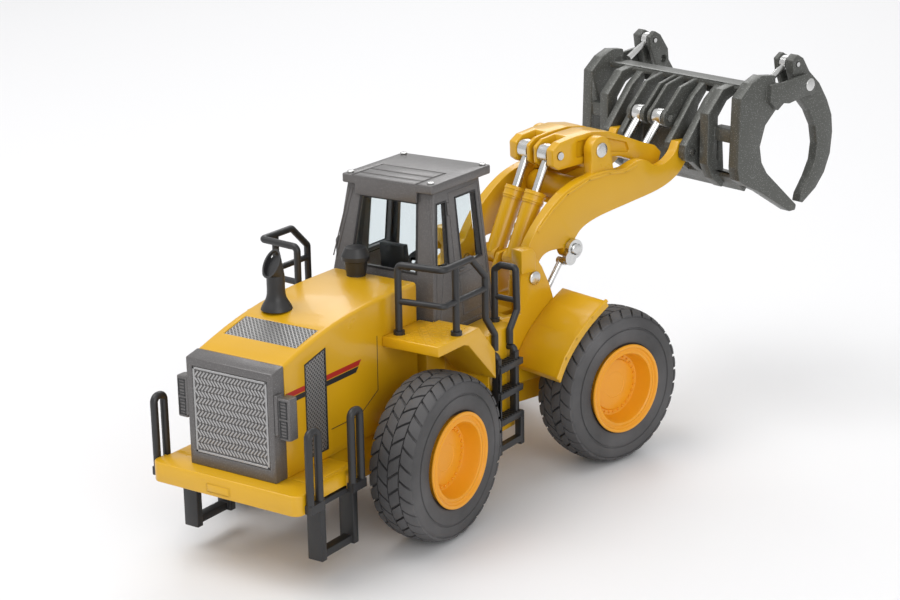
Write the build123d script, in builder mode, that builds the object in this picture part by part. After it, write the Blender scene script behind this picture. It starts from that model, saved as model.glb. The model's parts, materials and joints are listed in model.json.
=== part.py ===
"""Toy log loader, 1:50: an articulated wheel loader with a log grapple.

Millimetres. +X is forward, +Y is to the left, +Z is up. Everything is first drawn about the
articulation pin, with the wheels standing on z = 0. The front half is drawn straight ahead and
turned about the pin when it is written, and the whole model is then moved so that the origin is
the centre of its bounding box, on the ground.
"""
from build123d import *
import os
from math import atan2, cos, degrees, hypot, radians, sin

# ------------------------------------------------------------------ driving sizes
tyre_radius = 20.0
tyre_width = 12.0
track_half = 26.3
wheelbase = 72.8
steer_at_rest = -15.4
running_gap = 0.08
body_gap = 0.3
skin = 1.4

rim_radius = 11.5
rim_seat = 10.4
dish_radius = 8.0
dish_depth = 4.6
hub_radius = 6.2
rim_bolts = 24

# rear body
body_half = 12.2
sill_z = 24.2
body_rear_x = -73.9
hood_front_x = -23.3
hood_rear_z = 50.4
hood_front_z = 56.3
grille_depth = 4.2
bumper_rear_x = -81.9
bumper_half = 21.0
bumper_depth = 4.9
bumper_height = 4.8
platform_front_x = -59.0
platform_half = 20.2
platform_thickness = 3.6
deck_z = 46.9
deck_rear_x = -37.5
deck_outer = 28.0
deck_thickness = 2.5
step_z = 42.2
step_front_x = -0.9
step_rear_x = -12.8
step_half = 25.4

# cab
cab_base_z = 41.2
cab_top_z = 76.2
cab_half_base = 16.2
cab_half_top = 12.5
cab_rear_base_x = -22.3
cab_rear_top_x = -16.0
cab_front_base_x = 4.6
cab_front_top_x = 3.6
cab_wall = 1.5
roof_rear_x = -17.5
roof_front_x = 8.0
roof_half = 13.2
roof_thickness = 2.2

# front body
rear_axle_x = -wheelbase / 2
front_axle_x = wheelbase / 2
axle_radius = 1.25
housing_radius = 4.0
hinge_pin_radius = 1.5
tower_inner = 13.2
tower_plate = 2.2
tower_top_z = 56.8
neck_radius = 5.0

# lift arms and linkage, in the plane of the arms: x, z
boom_pivot = (21.0, 48.6)
grapple_pivot = (77.8, 71.4)
bell_pivot = (48.0, 76.2)
bell_rear_pin = (37.0, 75.8)
bell_front_pin = (71.0, 70.6)
link_pin = (78.4, 79.1)
tilt_base = (25.0, 50.2)
lift_base = (20.5, 31.5)
lift_eye = (36.4, 52.8)
arm_inner = 10.0
arm_thickness = 2.8
bell_inner = 0.8
bell_thickness = 7.4
cylinder_y = 3.7
pin_radius = 1.0

# grapple
clamp_pivot = (106.8, 87.5)
clamp_rod_pin = (103.2, 93.2)
clamp_base = (91.0, 86.4)
grapple_outer = 29.0
side_plate = 3.4
rail_x = 90.4
rail_z = 88.7

corner_rail_x = (-77.0, -61.7)
top_mesh_length = 8.3
top_mesh_width = 20.6
top_mesh_plane = Plane(origin=(-63.2, -0.2, 53.15), x_dir=(1, 0, 0.25), z_dir=(-0.25, 0, 1))
side_mesh_outline = ((-66.6, 26.4), (-59.2, 26.4), (-59.2, 50.2), (-66.6, 48.4))
exhaust_x = -53.8
exhaust_y = 5.4
cleaner_x = -25.6
cleaner_y = 3.6
quarter_window = ((-18.0, 58.4), (-12.6, 58.4), (-11.4, 73.4), (-15.2, 73.4))
door_window = ((-7.4, 57.2), (1.6, 57.2), (1.2, 73.4), (-7.4, 73.4))
window_base_z = 57.0
window_top_z = 73.4
mount_x = -30.0
mount_hole_radius = 1.5
mount_hole_depth = 6.0
tilt_rod_radius = 1.1
tilt_bore = 1.95
lift_rod_radius = 0.8
lift_bore = 1.05

rear_pieces = []
front_pieces = []
SIDES = (("right", -1), ("left", 1))


# ------------------------------------------------------------------ small helpers
def plate(outline, low, high, side=1, mode=Mode.ADD, radius=0.0):
    """A flat plate with its outline in the XZ plane, from y = low to y = high, on one side."""
    y_high = max(side * low, side * high)
    with BuildSketch(Plane.XZ.offset(-y_high)) as profile:
        with BuildLine():
            if radius:
                FilletPolyline(*outline, radius=radius, close=True)
            else:
                Polyline(*outline, close=True)
        make_face()
    extrude(profile.sketch, amount=high - low, mode=mode)


def block(x, y, z, mode=Mode.ADD):
    """A box from its three (low, high) ranges."""
    with Locations(((x[0] + x[1]) / 2, (y[0] + y[1]) / 2, (z[0] + z[1]) / 2)):
        Box(x[1] - x[0], y[1] - y[0], z[1] - z[0], mode=mode)


def side_range(low, high, side):
    """The y range from low to high on one side of the middle."""
    return (low, high) if side > 0 else (-high, -low)


def cross_pin(centre, radius, low, high, side=1, mode=Mode.ADD):
    """A round pin, boss or hole along Y at (x, z), from y = low to y = high."""
    y_high = max(side * low, side * high)
    with BuildSketch(Plane.XZ.offset(-y_high)) as profile:
        with Locations(centre):
            Circle(radius)
    extrude(profile.sketch, amount=high - low, mode=mode)


def rail(points, radius, bend):
    """A round bar along straight runs joined by bends."""
    with BuildLine(mode=Mode.PRIVATE) as path:
        if len(points) > 2:
            FilletPolyline(*points, radius=bend)
        else:
            Line(*points)
    with BuildSketch(path.line ^ 0, mode=Mode.PRIVATE) as section:
        Circle(radius)
    sweep(section.sketch, path=path.line)


def rod(start, end, radius, y, mode=Mode.ADD):
    """A straight round rod in the XZ plane at one y."""
    run = hypot(end[0] - start[0], end[1] - start[1])
    direction = (end[0] - start[0], 0, end[1] - start[1])
    with BuildSketch(Plane(origin=(start[0], y, start[1]), z_dir=direction)) as section:
        Circle(radius)
    extrude(section.sketch, amount=run, mode=mode)


def along(start, end, distance):
    """The point that lies at a distance from start on the way to end."""
    run = hypot(end[0] - start[0], end[1] - start[1])
    return tuple(a + (b - a) * distance / run for a, b in zip(start, end))


def finish(piece, name, pieces):
    """Label a piece and keep it for writing."""
    piece.part.label = name
    pieces.append(piece.part)


# ------------------------------------------------------------------ wheels
def build_wheels(axle_x, name, pieces, half_tread):
    """Axle, two rims and two tyres."""
    with BuildPart() as axle:
        cross_pin((axle_x, tyre_radius), axle_radius, -half_tread - 1.2, half_tread + 1.2)
    finish(axle, f"{name}_axle", pieces)

    tyre_in = half_tread - tyre_width / 2
    tyre_out = half_tread + tyre_width / 2
    lip = tyre_out + 0.6
    with BuildPart() as rims:
        for _, side in SIDES:
            with BuildSketch(Plane(origin=(axle_x, 0, tyre_radius), x_dir=(1, 0, 0),
                                   z_dir=(0, 0, 1))) as section:
                with BuildLine():
                    Polyline(
                        (axle_radius, side * (tyre_in + 0.4)), (4.6, side * (tyre_in + 0.4)),
                        (rim_seat, side * (tyre_in + 1.2)), (rim_seat, side * (tyre_out - 1.4)),
                        (rim_radius - 0.7, side * (tyre_out + 0.05)), (rim_radius, side * (tyre_out + 0.05)),
                        (rim_radius, side * lip), (rim_radius - 1.1, side * lip),
                        (rim_radius - 1.5, side * (lip - 0.7)), (rim_radius - 2.1, side * (lip - 0.7)),
                        (rim_radius - 2.7, side * (lip - 1.3)), (dish_radius, side * (lip - dish_depth)),
                        (hub_radius + 0.4, side * (lip - dish_depth)), (hub_radius, side * (lip - dish_depth + 0.5)),
                        (axle_radius, side * (lip - dish_depth + 0.7)), close=True)
                make_face()
            revolve(section.sketch, axis=Axis((axle_x, 0, tyre_radius), (0, 1, 0)))
            bolt_y = side * (lip - dish_depth)
            with BuildSketch(Plane(origin=(axle_x, bolt_y, tyre_radius), z_dir=(0, side, 0))) as bolts:
                with PolarLocations((dish_radius + hub_radius) / 2 + 0.1, rim_bolts):
                    Circle(0.32)
            extrude(bolts.sketch, amount=0.45)
            extrude(bolts.sketch, amount=-0.2)
    finish(rims, f"{name}_rims", pieces)

    for word, side in SIDES:
        inner, outer = tyre_in, tyre_out
        with BuildPart() as tyre:
            with BuildSketch(Plane(origin=(axle_x, 0, tyre_radius), x_dir=(1, 0, 0),
                                   z_dir=(0, 0, 1))) as section:
                with BuildLine():
                    Polyline(
                        (rim_seat + 0.02, side * (inner + 1.3)), (rim_radius + 0.9, side * inner),
                        (tyre_radius - 3.2, side * inner), (tyre_radius - 0.9, side * (inner + 0.7)),
                        (tyre_radius, side * (inner + 1.9)), (tyre_radius, side * (outer - 1.9)),
                        (tyre_radius - 0.9, side * (outer - 0.7)), (tyre_radius - 3.2, side * outer),
                        (rim_radius + 0.9, side * outer), (rim_radius + 0.2, side * (outer - 0.5)),
                        (rim_seat + 0.02, side * (outer - 1.3)), close=True)
                make_face()
            revolve(section.sketch, axis=Axis((axle_x, 0, tyre_radius), (0, 1, 0)))
        finish(tyre, f"{name}_tyre_{word}", pieces)




# ------------------------------------------------------------------ rear half: chassis and platform
with BuildPart() as rear_chassis:
    block((platform_front_x - 3, step_rear_x), (-10.5, 10.5), (13.5, sill_z - 0.1))
    block((-20.5, -6.5), (-12.9, 12.9), (22.0, cab_base_z - 0.1))
    for _, side in SIDES:
        block((step_rear_x, step_front_x), side_range(12.0, step_half, side), (16.0, step_z))
        cross_pin((rear_axle_x, tyre_radius), housing_radius, 10.0, track_half - tyre_width / 2 - body_gap, side)
    block((step_rear_x - 1, 0), (-cab_half_base - 0.1, cab_half_base + 0.1), (cab_base_z - 0.1, step_z + 1),
          mode=Mode.SUBTRACT)
    for lug_z in (17.8, 33.2):
        block((-8.0, 0.0), (-neck_radius, neck_radius), (lug_z, lug_z + 2.6))
        with Locations((0, 0, lug_z + 1.3)):
            Cylinder(neck_radius, 2.6)
    block((step_rear_x - 0.2, -6.5), (-10.5, 10.5), (13.5, 22.0))
    block((-12.0, -6.5), (-neck_radius, neck_radius), (17.8, 35.8))
    with Locations((0, 0, 26)):
        Cylinder(hinge_pin_radius, 40, mode=Mode.SUBTRACT)
    cross_pin((rear_axle_x, tyre_radius), axle_radius + running_gap, -30, 30, mode=Mode.SUBTRACT)
    for screw_x in (-52.0, -20.0):
        with Locations((screw_x, 0, 14.5)):
            Cylinder(0.8, 3.2, mode=Mode.SUBTRACT)
    with Locations(Plane(origin=(mount_x, 0, 13.5), z_dir=(0, 0, -1))):
        Hole(mount_hole_radius, depth=mount_hole_depth)
finish(rear_chassis, "rear_chassis", rear_pieces)

with BuildPart() as base_plate:
    block((-60.0, -16.0), (-8.0, 8.0), (12.3, 13.5))
    fillet(base_plate.edges().filter_by(Axis.Z), 2.0)
    with Locations((mount_x, 0, 12.9)):
        Cylinder(mount_hole_radius + 0.8, 2, mode=Mode.SUBTRACT)
    for screw_x in (-52.0, -20.0):
        with Locations((screw_x, 0, 12.9)):
            Cylinder(0.8, 2, mode=Mode.SUBTRACT)
        with Locations((screw_x, 0, 12.5)):
            Cylinder(1.5, 0.9, mode=Mode.SUBTRACT)
finish(base_plate, "base_plate", rear_pieces)

with BuildPart() as articulation_pin:
    with Locations((0, 0, 26.8)):
        Cylinder(hinge_pin_radius, 18.4)
    with Locations((0, 0, 36.4)):
        Cylinder(2.4, 0.9)
finish(articulation_pin, "articulation_pin", rear_pieces)

bumper_bottom = sill_z - bumper_height
with BuildPart() as counterweight:
    block((bumper_rear_x, bumper_rear_x + bumper_depth), (-bumper_half, bumper_half), (bumper_bottom, sill_z))
    fillet(counterweight.edges().filter_by(Axis.Z).group_by(Axis.X)[0], 2.2)
    block((bumper_rear_x + bumper_depth - 0.1, platform_front_x), (-platform_half, platform_half),
          (sill_z - platform_thickness, sill_z))
    for _, side in SIDES:
        block((-74.5, platform_front_x - 1.0), side_range(13.6, 19.2, side), (sill_z - 0.1, sill_z + 0.45))
        for rail_centre in corner_rail_x:
            block((rail_centre - 1.6, rail_centre + 1.6), side_range(platform_half - 0.2, platform_half + 0.75, side),
                  (bumper_bottom + 0.2, bumper_bottom + 3.4))
    block((bumper_rear_x - 0.35, bumper_rear_x + 0.2), (-2.0, 4.4), (bumper_bottom + 1.0, bumper_bottom + 3.0))
    block((platform_front_x - 3.1, platform_front_x + 1), (-10.6, 10.6), (13.4, sill_z - platform_thickness + 0.1),
          mode=Mode.SUBTRACT)
    block((platform_front_x - 3.1, platform_front_x + 1), (-10.6, 10.6), (sill_z - platform_thickness, sill_z + 1),
          mode=Mode.SUBTRACT)
finish(counterweight, "counterweight", rear_pieces)

# ------------------------------------------------------------------ engine hood
hood_line = ((-73.9, hood_rear_z), (-61.0, 53.8), (-47.0, hood_front_z - 0.5), (hood_front_x, hood_front_z))


def hood_solid(inset, rear_x, front_x, mode=Mode.ADD):
    """The hood's volume, drawn in by an inset from its top and sides."""
    with BuildSketch(Plane.XZ.offset(-(body_half - inset))) as profile:
        with BuildLine():
            crest = Spline(*[(x, z - inset) for x, z in hood_line], tangents=((1, 0.3), (1, 0)))
            Polyline(crest @ 1, (hood_front_x, sill_z - inset), (hood_line[0][0], sill_z - inset), crest @ 0)
        make_face()
        with Locations(((rear_x + front_x) / 2, 40)):
            Rectangle(front_x - rear_x, 80, mode=Mode.INTERSECT)
    extrude(profile.sketch, amount=2 * (body_half - inset), mode=mode)


with BuildPart() as engine_hood:
    hood_solid(0.0, body_rear_x, hood_front_x)
    long_edges = engine_hood.edges().group_by(Axis.Z)[-3:]
    fillet([e for group in long_edges for e in group if e.length > 30], 0.9)
    hood_solid(skin, body_rear_x + skin, hood_front_x - skin, mode=Mode.SUBTRACT)
    for _, side in SIDES:
        plate(side_mesh_outline, body_half - 0.7, body_half + 1, side, mode=Mode.SUBTRACT)
    with BuildSketch(top_mesh_plane) as opening:
        Rectangle(top_mesh_length, top_mesh_width)
    extrude(opening.sketch, amount=2, mode=Mode.SUBTRACT)
    extrude(opening.sketch, amount=-0.7, mode=Mode.SUBTRACT)
finish(engine_hood, "engine_hood", rear_pieces)

with BuildPart() as hood_side_meshes:
    for _, side in SIDES:
        plate(side_mesh_outline, body_half - 0.7, body_half - 0.1, side)
finish(hood_side_meshes, "hood_side_meshes", rear_pieces)

with BuildPart() as hood_top_mesh:
    with BuildSketch(top_mesh_plane.offset(-0.7)) as opening:
        Rectangle(top_mesh_length, top_mesh_width)
    extrude(opening.sketch, amount=0.6)
finish(hood_top_mesh, "hood_top_mesh", rear_pieces)

with BuildPart() as grille_frame:
    plate(((body_rear_x, sill_z), (body_rear_x, hood_rear_z), (body_rear_x - grille_depth, hood_rear_z - 0.9),
           (body_rear_x - grille_depth, sill_z)), -body_half, body_half)
    block((body_rear_x - grille_depth - 1, body_rear_x - grille_depth + 1.2), (-10.6, 10.6),
          (sill_z + 3.0, hood_rear_z - 2.8), mode=Mode.SUBTRACT)
finish(grille_frame, "grille_frame", rear_pieces)

with BuildPart() as grille_mesh:
    block((body_rear_x - grille_depth + 0.4, body_rear_x - grille_depth + 1.2), (-10.6, 10.6),
          (sill_z + 3.0, hood_rear_z - 2.8))
finish(grille_mesh, "grille_mesh", rear_pieces)

with BuildPart() as tail_lamps:
    for _, side in SIDES:
        block((-77.9, -75.5), side_range(body_half, body_half + 0.9, side), (35.4, 44.8))
        block((-77.4, -74.2), side_range(body_half + 0.9, body_half + 3.9, side), (34.6, 44.2))
    fillet(tail_lamps.edges().filter_by(Axis.Z).filter_by(lambda e: abs(e.center().Y) > body_half + 3), 0.8)
finish(tail_lamps, "tail_lamps", rear_pieces)

with BuildPart() as exhaust_stack:
    with BuildSketch(Plane(origin=(exhaust_x, exhaust_y, 0), x_dir=(1, 0, 0), z_dir=(0, -1, 0))) as section:
        with BuildLine():
            foot_z = hood_front_z - 1.1
            Line((0, foot_z), (3.7, foot_z))
            Spline((3.7, foot_z), (2.4, foot_z + 2.6), (2.1, foot_z + 5.0), tangents=((-0.3, 1), (0, 1)))
            Polyline((2.1, foot_z + 5.0), (2.1, foot_z + 8.0), (0, foot_z + 8.0), (0, foot_z))
        make_face()
    revolve(section.sketch, axis=Axis((exhaust_x, exhaust_y, 0), (0, 0, 1)))
    lean = Plane(origin=(exhaust_x - 1.3, exhaust_y, foot_z + 11.0), x_dir=(0, 1, 0), z_dir=(-0.82, 0, 0.57))
    with BuildSketch(Plane(origin=(exhaust_x, exhaust_y, foot_z + 8.0))) as low:
        Circle(2.1)
    with BuildSketch(lean) as mouth:
        Ellipse(2.2, 3.6)
    loft([low.sketch.face(), mouth.sketch.face()])
    with BuildSketch(lean) as bore:
        Ellipse(1.75, 3.1)
    extrude(bore.sketch, amount=-1.2, mode=Mode.SUBTRACT)
    hood_solid(0.0, body_rear_x, hood_front_x, mode=Mode.SUBTRACT)
finish(exhaust_stack, "exhaust_stack", rear_pieces)

with BuildPart() as air_precleaner:
    with BuildSketch(Plane(origin=(cleaner_x, cleaner_y, hood_front_z), x_dir=(1, 0, 0), z_dir=(0, -1, 0))) as section:
        with BuildLine():
            Polyline((0, -1.0), (2.35, -1.0), (2.35, 0.4), (2.9, 3.6), (3.4, 3.9), (3.5, 4.9), (2.5, 6.9), (0, 7.2),
                     close=True)
        make_face()
    revolve(section.sketch, axis=Axis((cleaner_x, cleaner_y, 0), (0, 0, 1)))
    hood_solid(0.0, body_rear_x, hood_front_x, mode=Mode.SUBTRACT)
finish(air_precleaner, "air_precleaner", rear_pieces)


# ------------------------------------------------------------------ cab
def cab_solid(inset, low_z, high_z, mode=Mode.ADD):
    """The tapered cab, drawn in by an inset, between two heights."""
    faces = []
    for z in (low_z, high_z):
        share = (z - cab_base_z) / (cab_top_z - cab_base_z)
        rear_x = cab_rear_base_x + share * (cab_rear_top_x - cab_rear_base_x) + inset
        front_x = cab_front_base_x + share * (cab_front_top_x - cab_front_base_x) - inset
        half = cab_half_base + share * (cab_half_top - cab_half_base) - inset
        with BuildSketch(Plane.XY.offset(z)) as level:
            with Locations(((rear_x + front_x) / 2, 0)):
                Rectangle(front_x - rear_x, 2 * half)
        faces.append(level.sketch.face())
    loft(faces, mode=mode)


with BuildPart() as cab_frame:
    cab_solid(0.0, cab_base_z, cab_top_z)
    cab_solid(cab_wall, cab_base_z + 0.8, cab_top_z + 1.0, mode=Mode.SUBTRACT)
    block((-19.0, 2.0), (-12.0, 12.0), (cab_base_z - 1, cab_base_z + 2), mode=Mode.SUBTRACT)
    plate(quarter_window, -30, 30, mode=Mode.SUBTRACT)
    plate(door_window, -30, 30, mode=Mode.SUBTRACT)
    with BuildSketch(Plane.YZ.offset(-40)) as back:
        with BuildLine():
            Polyline((-9.6, window_base_z), (-8.2, window_top_z), (8.2, window_top_z), (9.6, window_base_z), close=True)
        make_face()
    extrude(back.sketch, amount=32, mode=Mode.SUBTRACT)
    with BuildSketch(Plane.YZ.offset(-6)) as front:
        with BuildLine():
            Polyline((-12.6, 47.0), (-10.3, window_top_z), (10.3, window_top_z), (12.6, 47.0), close=True)
        make_face()
    extrude(front.sketch, amount=30, mode=Mode.SUBTRACT)
finish(cab_frame, "cab_frame", rear_pieces)

with BuildPart() as cab_roof:
    block((roof_rear_x, roof_front_x), (-roof_half, roof_half), (cab_top_z, cab_top_z + roof_thickness))
    fillet(cab_roof.edges().filter_by(Axis.Z), 0.6)
    for groove_x in (-14.4, -10.2, -5.1):
        block((groove_x - 0.2, groove_x + 0.2), (-8.4, 9.8), (cab_top_z + roof_thickness - 0.35, cab_top_z + 3),
              mode=Mode.SUBTRACT)
    for groove_y in (-8.6, 10.0):
        block((roof_rear_x - 1, -5.0), (groove_y - 0.2, groove_y + 0.2),
              (cab_top_z + roof_thickness - 0.45, cab_top_z + 3), mode=Mode.SUBTRACT)
    block((roof_rear_x, cab_rear_top_x - 0.75), (-8.6, 9.4), (cab_top_z - 2.6, cab_top_z + 0.1))
finish(cab_roof, "cab_roof", rear_pieces)

with BuildPart() as cab_glazing:
    cab_solid(cab_wall + 0.05, cab_base_z + 3, cab_top_z - 0.1)
    cab_solid(cab_wall + 0.65, cab_base_z + 2, cab_top_z + 0.5, mode=Mode.SUBTRACT)
    with BuildPart(mode=Mode.INTERSECT):
        plate(tuple((x + dx, z + dz) for (x, z), dx, dz in zip(quarter_window, (-1, 1, 1, -1), (-1, -1, 1, 1))), -30, 30)
        plate(tuple((x + dx, z + dz) for (x, z), dx, dz in zip(door_window, (-1, 1, 1, -1), (-1, -1, 1, 1))), -30, 30)
        block((-40, -12), (-9.0, 9.0), (window_base_z - 1, window_top_z + 1))
        block((0, 20), (-11.4, 11.4), (46.0, window_top_z + 1))
finish(cab_glazing, "cab_glazing", rear_pieces)

with BuildPart() as cab_floor:
    block((-18.9, 1.9), (-11.9, 11.9), (cab_base_z - 0.1, cab_base_z + 1.6))
    block((-2.2, 1.6), (-4.5, 4.5), (cab_base_z + 1.5, cab_base_z + 9.0))
finish(cab_floor, "cab_floor", rear_pieces)

with BuildPart() as operator_seat:
    block((-14.5, -7.5), (-3.6, 3.6), (cab_base_z + 1.6, cab_base_z + 7.5))
    plate(((-15.0, cab_base_z + 7.4), (-8.0, cab_base_z + 7.4), (-8.0, cab_base_z + 9.4), (-12.6, cab_base_z + 9.4),
           (-14.2, cab_base_z + 21.0), (-16.0, cab_base_z + 21.0)), -3.6, 3.6)
    block((-14.0, -8.6), (-6.4, -3.7), (cab_base_z + 11.0, cab_base_z + 12.6))
    block((-14.0, -8.6), (3.7, 6.4), (cab_base_z + 11.0, cab_base_z + 12.6))
    block((-14.6, -12.6), (-6.4, 6.4), (cab_base_z + 10.6, cab_base_z + 12.6))
finish(operator_seat, "operator_seat", rear_pieces)

with BuildPart() as steering_column:
    rod((-1.2, cab_base_z + 9.5), (-3.6, cab_base_z + 14.0), 0.7, 0)
    wheel_plane = Plane(origin=(-3.7, 0, cab_base_z + 14.2), z_dir=(-0.46, 0, 0.89))
    with BuildSketch(wheel_plane) as hub:
        Circle(3.4)
        Circle(2.5, mode=Mode.SUBTRACT)
        Rectangle(5.6, 0.9)
        Rectangle(0.9, 5.6)
    extrude(hub.sketch, amount=0.5, both=True)
finish(steering_column, "steering_column", rear_pieces)

# ------------------------------------------------------------------ decks, rails, ladders
arch_outline = ((deck_rear_x, deck_z), (-20.4, deck_z), (-13.7, 39.4), (-13.4, 32.2), (-14.6, 33.4),
                (-25.0, deck_z - deck_thickness - 0.7), (-27.0, deck_z - deck_thickness),
                (deck_rear_x, deck_z - deck_thickness))
for word, side in SIDES:
    with BuildPart() as fender:
        plate(arch_outline, body_half + 0.05, deck_outer, side)
        block((cab_rear_base_x - 0.15, 0), side_range(0, cab_half_base + 0.15, side), (30, 60), mode=Mode.SUBTRACT)
        with BuildSketch(Plane(origin=(-17.4, side * 22.5, 43.3), x_dir=(6.7, 0, -7.5),
                               z_dir=(7.5, 0, 6.7))) as pad:
            Rectangle(6.6, 6.0)
        extrude(pad.sketch, amount=0.4)
    finish(fender, f"fender_{word}", rear_pieces)

    rail_y = side * 26.3
    post_y = side * 14.6
    with BuildPart() as platform_rail:
        rail(((-34.0, post_y, deck_z + 0.6), (-34.0, post_y, 63.6), (-32.6, rail_y, 63.6), (-21.2, rail_y, 63.6),
              (-15.2, rail_y, 58.0), (-15.2, rail_y, 47.6), (-11.2, rail_y, 42.4), (-11.2, rail_y, 38.4)), 0.85, 1.2)
        rail(((-34.0, post_y, 54.9), (-32.6, rail_y, 54.9), (-15.2, rail_y, 54.9)), 0.75, 1.2)
        rail(((-27.6, rail_y, deck_z + 0.6), (-27.6, rail_y, 63.6)), 0.85, 0)
        with Locations((-34.0, post_y, deck_z + 0.45), (-27.6, rail_y, deck_z + 0.45)):
            Cylinder(1.35, 0.9)
    finish(platform_rail, f"platform_rail_{word}", rear_pieces)

    with BuildPart() as step_rail:
        rail(((-2.0, side * 20.4, step_z + 0.6), (-2.0, side * 20.4, 55.4), (-2.0, side * 22.2, 56.7),
              (-2.0, side * 26.4, 56.7), (-1.6, rail_y + side * 0.2, 46.0), (-4.6, rail_y, 41.8),
              (-4.6, rail_y, 38.4)), 0.85, 0.9)
        rail(((-2.0, side * 20.4, 48.6), (-1.8, side * 26.3, 48.4)), 0.7, 0)
        with Locations((-2.0, side * 20.4, step_z + 0.45)):
            Cylinder(1.2, 0.9)
    finish(step_rail, f"step_rail_{word}", rear_pieces)

    with BuildPart() as ladder:
        outer = side_range(26.4, 28.2, side)
        for rail_x in (-11.9, -4.2):
            block((rail_x - 0.8, rail_x + 0.8), outer, (19.0, 36.6))
            rail(((rail_x, side * 27.3, 36.0), (rail_x, side * 27.3, 37.4), (rail_x, side * 25.45, 37.4)), 0.85, 0.9)
        for step_height in (20.4, 27.2, 33.9):
            block((-12.6, -2.6), side_range(25.5, 28.9, side), (step_height - 0.8, step_height + 0.8))
        for leg_x in (-11.9, -1.9):
            block((leg_x - 0.8, leg_x + 0.8), outer, (11.9, 20.4))
        block((-11.9, -1.9), outer, (12.7, 14.3))
    finish(ladder, f"ladder_{word}", rear_pieces)

with BuildPart() as rear_steps:
    for _, side in SIDES:
        for leg_x in (-71.8, -60.0):
            block((leg_x - 0.9, leg_x + 0.9), side_range(16.0, 20.0, side), (5.4, sill_z - platform_thickness - 0.05))
        block((-71.0, -60.5), side_range(16.0, 20.0, side), (18.6, 19.9))
        block((-71.0, -60.5), side_range(17.0, 19.4, side), (5.6, 7.4))
finish(rear_steps, "rear_steps", rear_pieces)

with BuildPart() as corner_rails:
    for _, side in SIDES:
        for rail_centre in corner_rail_x:
            rail_y = side * (platform_half + 1.7)
            rail(((rail_centre - 1.65, rail_y, bumper_bottom + 0.4), (rail_centre - 1.65, rail_y, 38.2),
                  (rail_centre + 1.65, rail_y, 38.2), (rail_centre + 1.65, rail_y, bumper_bottom + 0.4)), 0.9, 1.4)
            block((rail_centre - 2.5, rail_centre + 2.5), side_range(platform_half + 0.8, platform_half + 2.6, side),
                  (bumper_bottom + 0.2, bumper_bottom + 2.2))
finish(corner_rails, "corner_rails", rear_pieces)

with BuildPart() as screws:
    for screw_x in (-52.0, -20.0):
        with Locations((screw_x, 0, 14.2)):
            Cylinder(0.75, 3.4)
        with Locations((screw_x, 0, 12.65)):
            Cylinder(1.4, 0.5)
    for screw_x in (roof_rear_x + 1.7, roof_front_x - 1.5):
        for _, side in SIDES:
            with Locations((screw_x, side * (roof_half - 1.5), cab_top_z + roof_thickness + 0.25)):
                Cylinder(0.85, 0.5)
finish(screws, "screws", rear_pieces)

build_wheels(rear_axle_x, "rear", rear_pieces, track_half)
build_wheels(front_axle_x, "front", front_pieces, track_half)

# ------------------------------------------------------------------ front half: frame and fenders
tower_outline = ((16.4, 24.0), (16.4, 52.0), (15.4, 53.4), (15.4, tower_top_z), (19.4, tower_top_z), (21.0, 54.8),
                 (23.8, 51.0), (26.4, 45.8), (28.4, 40.0), (31.0, 34.0), (31.0, 24.0))
with BuildPart() as front_frame:
    with Locations((0, 0, 26.85)):
        Cylinder(neck_radius, 11.9)
    block((0, 11.0), (-neck_radius, neck_radius), (20.9, 32.8))
    block((8.5, 50.0), (-10.6, 10.6), (14.5, 25.5))
    block((10.0, 13.6), (-15.4, 15.4), (22.0, 40.0))
    for _, side in SIDES:
        plate(tower_outline, tower_inner, tower_inner + tower_plate, side)
        block((10.0, 17.0), side_range(tower_inner, tower_inner + tower_plate, side), (22.0, 40.0))
        block((16.4, 31.0), side_range(8.0, tower_inner + tower_plate, side), (22.0, 26.0))
        plate(((15.4, 50.8), (15.4, tower_top_z), (19.0, tower_top_z), (20.2, 55.4), (20.2, 50.8)),
              tower_inner + tower_plate - 0.1, tower_inner + tower_plate + 1.6, side)
        cross_pin((front_axle_x, tyre_radius), housing_radius, 10.0, track_half - tyre_width / 2 - body_gap, side)
        plate(((lift_base[0] - 2.4, 24.0), (lift_base[0] - 2.4, lift_base[1] + 2.2), (lift_base[0] + 2.2, lift_base[1] + 2.2),
               (lift_base[0] + 3.4, 24.0)), 8.0, 9.2, side)
    block((19.4, 22.6), (-tower_inner, tower_inner), (24.0, 26.4))
    plate(((tilt_base[0] - 5.0, 40.0), (tilt_base[0] - 5.0, 46.0), (tilt_base[0] - 2.4, 51.6), (tilt_base[0] + 1.6, 52.2),
           (tilt_base[0] + 2.6, 48.0), (tilt_base[0] + 1.0, 40.0)), -0.6, 0.6)
    for _, side in SIDES:
        plate(((tilt_base[0] - 5.0, 40.0), (tilt_base[0] - 5.0, 46.0), (tilt_base[0] - 2.4, 51.6),
               (tilt_base[0] + 1.6, 52.2), (tilt_base[0] + 2.6, 48.0), (tilt_base[0] + 1.0, 40.0)), 6.8, 8.2, side)
    block((tilt_base[0] - 5.0, tilt_base[0] + 1.0), (-8.2, 8.2), (38.6, 41.0))
    block((13.5, tilt_base[0] + 1.0), (-8.2, 8.2), (24.0, 39.0))
    with Locations((0, 0, 26)):
        Cylinder(hinge_pin_radius + running_gap, 40, mode=Mode.SUBTRACT)
    cross_pin((front_axle_x, tyre_radius), axle_radius + running_gap, -30, 30, mode=Mode.SUBTRACT)
    cross_pin(boom_pivot, pin_radius, 10, 20, 1, mode=Mode.SUBTRACT)
    cross_pin(boom_pivot, pin_radius, 10, 20, -1, mode=Mode.SUBTRACT)
    cross_pin(tilt_base, pin_radius, -9, 9, mode=Mode.SUBTRACT)
    for _, side in SIDES:
        cross_pin(lift_base, pin_radius, 7, 18, side, mode=Mode.SUBTRACT)
finish(front_frame, "front_frame", front_pieces)

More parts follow.
